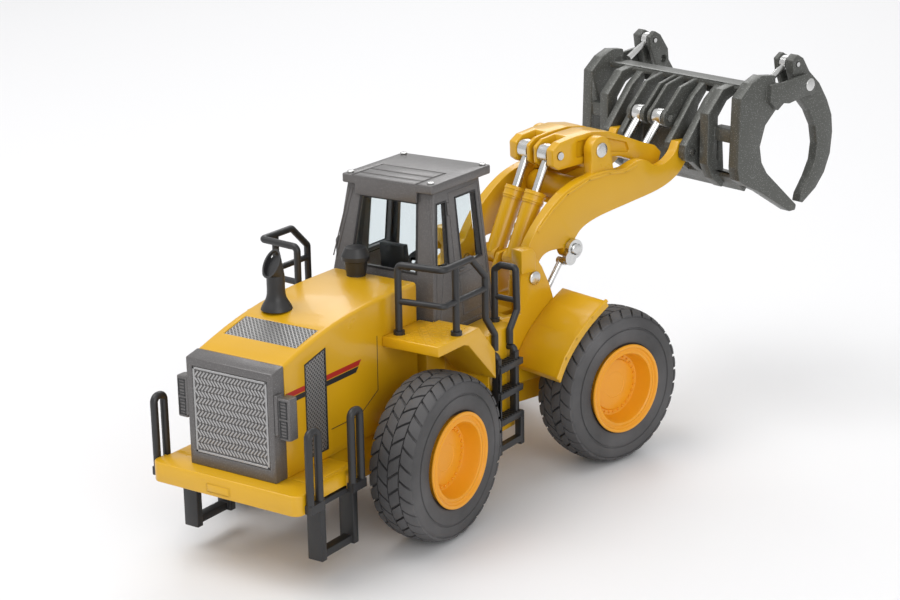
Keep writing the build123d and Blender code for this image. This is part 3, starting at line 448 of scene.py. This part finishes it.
# %% One tyre
def add_tyre(shape, place):
    add_lathe(shape, carcass, place, 96)
    pitch = 2 * pi / blocks_round
    for row, middle in enumerate(tread_rows):
        slant = 1 if row % 2 else -1
        block = bmesh.new()
        bmesh.ops.create_grid(block, x_segments=3, y_segments=3, size=0.5)
        stretch = Matrix.Diagonal((block_length, block_width, 1, 1))
        bmesh.ops.transform(block, matrix=stretch, verts=block.verts)
        for vert in block.verts:
            vert.co.x += slant * vert.co.y * block_slant
        sides = bmesh.ops.extrude_face_region(block, geom=block.faces[:])["geom"]
        top = [item for item in sides if isinstance(item, bmesh.types.BMVert)]
        bmesh.ops.translate(block, vec=(0, 0, 1), verts=top)
        for vert in block.verts:
            turn = vert.co.x / tyre_radius
            offset = middle + vert.co.y
            radius = crown(offset) if vert.co.z > 0.5 else block_foot
            if vert.co.z > 0.5 and len(vert.link_faces) < 4:
                radius -= block_rim_drop
            vert.co = Vector((radius * cos(turn), radius * sin(turn), offset))
        block_mesh = bpy.data.meshes.new("tread_block")
        block.to_mesh(block_mesh)
        block.free()
        lift = (row % 2) * 0.5
        for step in range(blocks_round):
            known = len(shape.verts)
            shape.from_mesh(block_mesh)
            shape.verts.ensure_lookup_table()
            turn = Matrix.Rotation((step + lift) * pitch, 4, "Z")
            bmesh.ops.transform(shape, matrix=place @ turn, verts=shape.verts[known:])
        bpy.data.meshes.remove(block_mesh)
    print("tyre blocks", len(tread_rows) * blocks_round)


# %% The four tyres
for half, centre_x, place in (("rear", -half_base, rear_frame), ("front", half_base, front_frame)):
    for word, side in (("right", -1), ("left", 1)):
        tyre = bmesh.new()
        add_tyre(tyre, side_place(centre_x, side * half_track, tyre_radius, side))
        finish_piece(f"{half}_tread_tyre_{word}", tyre, tyre_rubber, f"{half}_wheels", place,
                     (f"{half}_tyre_{word}",), smooth=38)

# %% [markdown]
# Each rim is a deep moulded dish: two rolled beads at the lip, a cone down to the wheel's floor, and a ring
# of small bolts where they meet. One spun profile gives the dish, and one bolt head is copied round it.

# %% Rims
rim_profile = [(10.45, 4.3), (10.6, 5.6), (11.35, 6.1), (11.5, 6.45), (11.38, 6.72), (11.05, 6.8),
               (10.7, 6.66), (10.45, 6.25), (10.15, 6.1), (9.85, 6.18), (9.62, 6.36), (9.3, 6.4),
               (9.05, 6.2), (8.9, 5.75),
               (8.55, 4.2), (8.15, 2.6), (7.95, 2.15), (7.6, 2.0), (6.75, 2.0), (6.62, 2.12), (6.5, 2.32),
               (6.2, 2.38), (3.4, 2.38), (3.3, 2.3), (0.0, 2.3)]
rim_back = [(10.45, 4.3), (10.4, -4.6), (9.4, -4.9), (8.6, -3.6), (1.6, -3.4), (1.3, -5.6), (0, -5.6)]
bolt_head = [(0.3, 0), (0.3, 0.22), (0.18, 0.36), (0, 0.4)]
bolt_circle = Matrix.Translation((7.2, 0, 2.0))
bolt_count = 28
for half, centre_x, place in (("rear", -half_base, rear_frame), ("front", half_base, front_frame)):
    rims = bmesh.new()
    for side in (-1, 1):
        wheel = side_place(centre_x, side * half_track, tyre_radius, side)
        add_lathe(rims, rim_profile, wheel, 96)
        add_lathe(rims, rim_back, wheel, 64)
        for index in range(bolt_count):
            bolt_turn = Matrix.Rotation(index * 2 * pi / bolt_count, 4, "Z") @ bolt_circle
            add_lathe(rims, bolt_head, wheel @ bolt_turn, 8)
    finish_piece(f"{half}_dished_rims", rims, orange, f"{half}_wheels", place,
                 (f"{half}_rims",))

# %% [markdown]
# Moulded and cast edges are never sharp: a small round catches the light along every edge. Each plain
# engineering part is copied, its flat triangles are joined again, and its hard edges are bevelled. Flat
# faces stay flat and only curved faces and the new rounds are smooth. A copy that comes out open, or with
# another volume, is dropped, and the engineering part stays in view.

# %% Rounded copies
flat_turn = radians(0.6)
hard_turn = radians(36)
copy_weld = 0.002
largest_volume_change = 0.05
body_of_node = {name: body for body, names in frame["record"]["behaviour"]["bodies"].items()
                for name in names}


def soften(name, width):
    shape = bmesh.new()
    shape.from_mesh(nodes[name].data)
    bmesh.ops.scale(shape, vec=(1 / mm, 1 / mm, 1 / mm), verts=shape.verts)
    bmesh.ops.remove_doubles(shape, verts=shape.verts, dist=copy_weld)
    bmesh.ops.dissolve_limit(shape, angle_limit=flat_turn, verts=shape.verts, edges=shape.edges)
    plain_volume = shape.calc_volume()
    turns = {edge: edge.calc_face_angle(0.0) for edge in shape.edges if len(edge.link_faces) == 2}
    for face in shape.faces:
        face.smooth = any(flat_turn < turns.get(edge, 0.0) < hard_turn for edge in face.edges)
    hard = [edge for edge, turn in turns.items() if turn >= hard_turn]
    made = bmesh.ops.bevel(shape, geom=hard, offset=width, segments=2, profile=0.5, affect="EDGES",
                           material=-1, clamp_overlap=False)
    for face in made["faces"]:
        face.smooth = True
    open_edges = sum(len(edge.link_faces) != 2 for edge in shape.edges)
    change = shape.calc_volume() / plain_volume - 1
    if open_edges or abs(change) > largest_volume_change:
        print(name, "stays plain: open edges", open_edges, "volume change", round(change, 3))
        shape.free()
        return
    bmesh.ops.triangulate(shape, faces=[face for face in shape.faces if len(face.verts) > 4])
    finish_piece(f"{name}_rounded", shape, nodes[name].data.materials[0], body_of_node[name],
                 Matrix(), (name,), smooth=36, keep_flat=True)


for width, names in (
        (0.30, ("counterweight", "cab_roof", "grille_frame", "boom_cross_member")),
        (0.22, ("rear_chassis", "engine_hood", "cab_frame", "fender_right", "fender_left", "front_frame",
                "operator_seat", "tail_lamps")),
        (0.20, ("lift_arm_right", "lift_arm_left", "grapple_frame", "clamp_arm_right", "clamp_arm_left",
                "front_fender_right", "front_fender_left", "bellcrank_right", "bellcrank_left")),
        (0.14, ("rear_steps", "ladder_right", "ladder_left", "base_plate", "screws", "tilt_links"))):
    for name in names:
        soften(name, width)

# %% [markdown]
# The radiator is a recessed panel of pressed metal: short bars lean one way in one row and the other way
# in the next, inside a raised border. One rounded bar is placed again and again.

# %% Radiator relief and lamps
grille_wall = wall_place((-77.7, 0, 0), (0, -1, 0), (0, 0, 1))
relief = bmesh.new()
row_count = 12
row_pitch = 1.55
first_row_z = 28.9
bar_pitch = 0.95
bar_lean = 0.42
for row in range(row_count):
    row_z = first_row_z + row * row_pitch
    lean = bar_lean if row % 2 else -bar_lean
    for column in range(-10, 11):
        bar_y = column * bar_pitch
        add_bar(relief, (bar_y - lean, row_z - 0.5), (bar_y + lean, row_z + 0.5), 0.4, -0.1, 0.26,
                grille_wall)
grille_border = [(-10.2, 27.6), (10.2, 27.6), (10.2, 47.2), (-10.2, 47.2)]
add_outline(relief, grille_border, 0.5, -0.1, 0.32, grille_wall)
finish_piece("radiator_relief", relief, grille_grey, "chassis")

lamps = bmesh.new()
lamp_wall = (wall_place((-77.4, 0, 0), (0, 1, 0), (0, 0, 1)) @ Matrix.Scale(-1, 4, (0, 0, 1)))
lens_ribs = 4
for side in (-1, 1):
    for low, high in ((35.3, 39.0), (39.8, 43.5)):
        lens = [(side * 13.5, low), (side * 15.3, low), (side * 15.3, high), (side * 13.5, high)]
        add_outline(lamps, lens, 0.3, -0.1, 0.16, lamp_wall)
        for rib in range(lens_ribs):
            rib_z = low + 0.7 + rib * (high - low - 1.4) / (lens_ribs - 1)
            add_bar(lamps, (side * 13.7, rib_z), (side * 15.1, rib_z), 0.28, -0.1, 0.1, lamp_wall)
finish_piece("lamp_trim", lamps, black, "chassis")

# %% [markdown]
# A red stripe over a black one runs forward along each side of the hood and ends on a slant. A printed
# stripe has almost no thickness, so each is a thin plate whose end is sheared, and the hood's panel seam
# is a fine dark line drawn the same way.

# %% Stripes and seams
hood_side = 12.2
mesh_gap = (-66.9, -58.9)


def add_stripe(shape, start, end, low, high, slant):
    for side in (-1, 1):
        known = len(shape.verts)
        face = side * hood_side
        add_block(shape, (start, min(face - 0.02 * side, face + 0.07 * side), low),
                  (end, max(face - 0.02 * side, face + 0.07 * side), high))
        shape.verts.ensure_lookup_table()
        for vert in shape.verts[known:]:
            if vert.co.x > (start + end) / 2:
                vert.co.x += slant * (vert.co.z - low)


red_stripes, black_stripes, seams = bmesh.new(), bmesh.new(), bmesh.new()
for start, end, slant in ((-73.6, mesh_gap[0], 0.0), (mesh_gap[1], -46.9, 0.9)):
    add_stripe(red_stripes, start, end, 42.6, 43.8, slant)
    add_stripe(black_stripes, start, end - slant * 1.2, 41.2, 42.4, slant)
for side in (-1, 1):
    seam_wall = wall_place((0, side * hood_side, 0), (-side, 0, 0), (0, 0, 1))
    seam = [(-39.5, 47.5), (-39.6, 34.4), (-46.8, 30.5), (-57.6, 30.5)]
    for start, end in zip(seam, seam[1:]):
        add_bar(seams, (-side * start[0], start[1]), (-side * end[0], end[1]), 0.2, -0.05, 0.05,
                seam_wall, 0.02)
    mesh_rim = [(-66.6, 26.4), (-59.2, 26.4), (-59.2, 50.2), (-66.6, 48.4)]
    add_outline(seams, [(-side * x, z) for x, z in mesh_rim], 0.35, -0.1, 0.14, seam_wall)
finish_piece("red_stripes", red_stripes, stripe_red, "chassis")
finish_piece("black_stripes", black_stripes, black, "chassis")
finish_piece("hood_seams", seams, black, "chassis")

# %% [markdown]
# The cab walls lean in. Door edges, window rubbers, hinges and the handle are laid out on each wall's own
# plane, so they lie flat on it whatever its lean.

# %% Cab trim
trim, rubbers = bmesh.new(), bmesh.new()
wall_foot = 41.2
foot_half = 16.2
back_foot_x = -22.3
back_lean = 6.3
wall_rise = (76.2 - wall_foot, foot_half - 12.5)
wall_stretch = (wall_rise[0] ** 2 + wall_rise[1] ** 2) ** 0.5 / wall_rise[0]


def on_wall(side, *points):
    """Points of a side wall given as x and height, in the wall's own plane."""
    return [(-side * x, (z - wall_foot) * wall_stretch) for x, z in points]


for side in (-1, 1):
    wall = wall_place((0, side * foot_half, wall_foot), (-side, 0, 0),
                      (0, -side * wall_rise[1], wall_rise[0]))
    door = on_wall(side, (-10.4, 43.0), (3.4, 43.0), (2.7, 75.0), (-10.0, 75.0))
    add_outline(trim, door, 0.32, -0.08, 0.14, wall)
    panel = on_wall(side, (-8.6, 45.0), (1.9, 45.0), (1.7, 54.8), (-8.6, 54.8))
    add_outline(trim, panel, 0.3, -0.08, 0.12, wall)
    post_lines = (((-20.4, 43.0), (-15.7, 70.0)), ((-19.2, 43.0), (-14.9, 57.4)),
                  ((-12.3, 43.0), (-12.0, 57.0)))
    for start, end in post_lines:
        add_bar(trim, *on_wall(side, start, end), 0.3, -0.08, 0.14, wall)
    for hinge_z in (46.4, 71.4):
        hinge = on_wall(side, (-10.9, hinge_z - 1.2), (-10.9, hinge_z + 1.2))
        add_bar(trim, *hinge, 0.8, -0.08, 0.42, wall, 0.18)
    handle = on_wall(side, (-8.6, 55.9), (-6.2, 55.9))
    add_bar(trim, *handle, 0.6, -0.08, 0.62, wall, 0.22)
    quarter_pane = on_wall(side, (-18.0, 58.4), (-12.6, 58.4), (-11.6, 73.4), (-15.2, 73.4))
    add_outline(rubbers, quarter_pane, 0.42, -0.2, 0.16, wall)
    door_pane = on_wall(side, (-7.4, 57.2), (1.6, 57.2), (1.2, 73.4), (-7.4, 73.4))
    add_outline(rubbers, door_pane, 0.42, -0.2, 0.16, wall)
back_wall = wall_place((back_foot_x, 0, wall_foot), (0, -1, 0), (back_lean, 0, wall_rise[0]))
back_stretch = (wall_rise[0] ** 2 + back_lean ** 2) ** 0.5 / wall_rise[0]
back_corners = ((-9.6, 57.0), (9.6, 57.0), (8.2, 73.4), (-8.2, 73.4))
back_window = [(y, (z - wall_foot) * back_stretch) for y, z in back_corners]
add_outline(rubbers, back_window, 0.5, -0.2, 0.18, back_wall)
for corner in (-1, 1):
    for inset in (0.9, 1.8):
        add_bar(trim, (corner * (15.9 - inset), 17.2), (corner * (12.7 - inset), 34.0), 0.3, -0.08, 0.14,
                back_wall)
finish_piece("cab_trim", trim, charcoal, "chassis")
finish_piece("window_rubbers", rubbers, black, "chassis")

# %% [markdown]
# Wherever a foot goes there is grip: hatched pads on the fenders, short crossed bars on the decks and
# toothed ladder rungs. A bump in the material would be lost in the model's own mesh, so each is a row of
# small rounded bars.

# %% Grip
grip, teeth = bmesh.new(), bmesh.new()
for side in (-1, 1):
    pad = wall_place((-17.4, side * 22.5, 43.3), (0, 1, 0), (-6.7, 0, 7.5))
    for step in range(-4, 5):
        reach = 2.7 - abs(step) * 0.45
        middle = step * 0.62
        for lean in (reach, -reach):
            add_bar(grip, (middle - lean, -reach), (middle + lean, reach), 0.16, 0.3, 0.52, pad, 0.03)
    for row in range(10):
        for column in range(7):
            spot_x = -36.6 + row * 1.55
            spot_y = side * (16.6 + column * 1.45)
            lean = pi / 4 if (row + column) % 2 else -pi / 4
            deck = Matrix.Translation((spot_x, spot_y, 46.9)) @ Matrix.Rotation(lean, 4, "Z")
            add_block(grip, (-0.5, -0.12, -0.05), (0.5, 0.12, 0.13), 0.04, None, deck, 1)
    for rung_z in (20.4, 27.2, 33.9):
        for tooth in range(8):
            tooth_x = -11.9 + tooth * 1.15
            low_y, high_y = sorted((side * 25.8, side * 28.7))
            add_block(teeth, (tooth_x - 0.22, low_y, rung_z + 0.7),
                      (tooth_x + 0.22, high_y, rung_z + 1.05), 0.08, segments=1)
finish_piece("fender_grip", grip, yellow, "chassis")
finish_piece("rung_teeth", teeth, nodes["ladder_right"].data.materials[0], "chassis")

# %% [markdown]
# Pins end in domed caps, cylinder ends carry gland rings, and the arms and front fenders have a raised
# lip along their outer edge. The caps and rings are spun, and the lips follow the same outlines as the
# parts below them.

# %% Caps, rings and lips
def add_cap(shape, x, z, y, side, radius):
    profile = [(radius, -0.1), (radius, 0.25), (radius * 0.86, 0.42), (radius * 0.5, 0.52), (0, 0.55)]
    add_lathe(shape, [(0, -0.1)] + profile, side_place(x, side * y, z, side), 28)


def add_ring(shape, start, end, distance, y, radius):
    run = Vector((end[0] - start[0], 0, end[1] - start[1])).normalized()
    centre = Vector((start[0], y, start[1])) + run * distance
    place = Matrix.Translation(centre) @ run.to_track_quat("Z", "Y").to_matrix().to_4x4()
    inner, outer = radius - 0.25, radius + 0.14
    section = [(inner, -0.3), (radius, -0.3), (outer, -0.15), (outer, 0.15), (radius, 0.3), (inner, 0.3),
               (inner, -0.3)]
    add_lathe(shape, section, place, 32)


frame_caps, boom_caps, grapple_caps = bmesh.new(), bmesh.new(), bmesh.new()
tilt_rings, arm_lips, fender_lips = bmesh.new(), bmesh.new(), bmesh.new()
arm_edge = ((24.9, 59.5), (29.9, 63.9), (34.9, 67.1), (42.5, 69.5), (49.8, 70.0), (55.6, 69.5),
            (59.6, 70.5))
fender_edge = ((30.8, 44.0), (25.8, 41.0), (20.4, 36.6), (16.8, 32.4), (14.4, 27.9))
for side in (-1, 1):
    add_cap(frame_caps, 21.0, 48.6, 15.7, side, 1.7)
    add_cap(boom_caps, 48.0, 76.2, 11.8, side, 1.9)
    add_cap(boom_caps, 36.4, 52.8, 14.6, side, 1.5)
    add_cap(grapple_caps, 106.8, 87.5, 30.5, side, 1.7)
    for distance in (15.5, 17.2):
        add_ring(tilt_rings, (25.0, 50.2), (37.0, 75.8), distance, side * 3.7, 2.75)
    arm_wall = wall_place((0, side * 12.8, 0), (-side, 0, 0), (0, 0, 1))
    for start, end in zip(arm_edge, arm_edge[1:]):
        add_bar(arm_lips, (-side * start[0], start[1]), (-side * end[0], end[1]), 0.7, -0.1, 0.3,
                arm_wall, 0.12)
    fender_wall = wall_place((0, side * 31.0, 0), (-side, 0, 0), (0, 0, 1))
    for start, end in zip(fender_edge, fender_edge[1:]):
        add_bar(fender_lips, (-side * start[0], start[1] - 0.2), (-side * end[0], end[1] - 0.2), 0.9, -0.5,
                0.3, fender_wall, 0.15)
finish_piece("frame_pin_caps", frame_caps, steel, "front", front_frame)
finish_piece("boom_pin_caps", boom_caps, steel, "boom", front_frame)
finish_piece("grapple_pin_caps", grapple_caps, steel, "grapple", front_frame)
finish_piece("tilt_gland_rings", tilt_rings, nodes["tilt_barrels"].data.materials[0], "tilt_barrels",
             front_frame)
finish_piece("arm_lips", arm_lips, nodes["lift_arm_right"].data.materials[0], "boom",
             front_frame)
finish_piece("fender_lips", fender_lips, nodes["front_fender_right"].data.materials[0], "front",
             front_frame)

# %% [markdown]
# The table is a plain pale sheet, and the light comes from large soft boxes, as in a studio: a broad
# key high on the left, a fill on the right and a bright surround.

# %% Floor and light
floor_mesh = bmesh.new()
bmesh.ops.create_grid(floor_mesh, x_segments=1, y_segments=1, size=4)
floor = bpy.data.objects.new("floor", bpy.data.meshes.new("floor"))
floor_mesh.to_mesh(floor.data)
floor_mesh.free()
bpy.context.scene.collection.objects.link(floor)
floor_finish = Graph("floor_paper", (0.80, 0.80, 0.81), 0.6)
floor.data.materials.append(floor_finish.material)


def soft_box(name, place, size, power):
    light = bpy.data.objects.new(name, bpy.data.lights.new(name, "AREA"))
    bpy.context.scene.collection.objects.link(light)
    light.data.size = size
    light.data.energy = power
    light.location = place
    light.rotation_euler = (aim - Vector(place)).to_track_quat("-Z", "Y").to_euler()


soft_box("key", (-0.35, 0.35, 1.0), 0.7, 6.2)
soft_box("fill", (-0.7, -0.9, 0.55), 0.8, 4.6)
soft_box("rim", (0.9, 0.5, 0.8), 0.6, 3.4)
world = bpy.data.worlds.new("studio")
world.use_nodes = True
world.node_tree.nodes["Background"].inputs["Color"].default_value = (1, 1, 1, 1)
world.node_tree.nodes["Background"].inputs["Strength"].default_value = 0.66
bpy.context.scene.world = world
bpy.context.scene.view_settings.view_transform = "Standard"
print("lit by three soft boxes")

# %% [markdown]
# Last, the script prints that it is finished.

# %% Finish
print("finished")
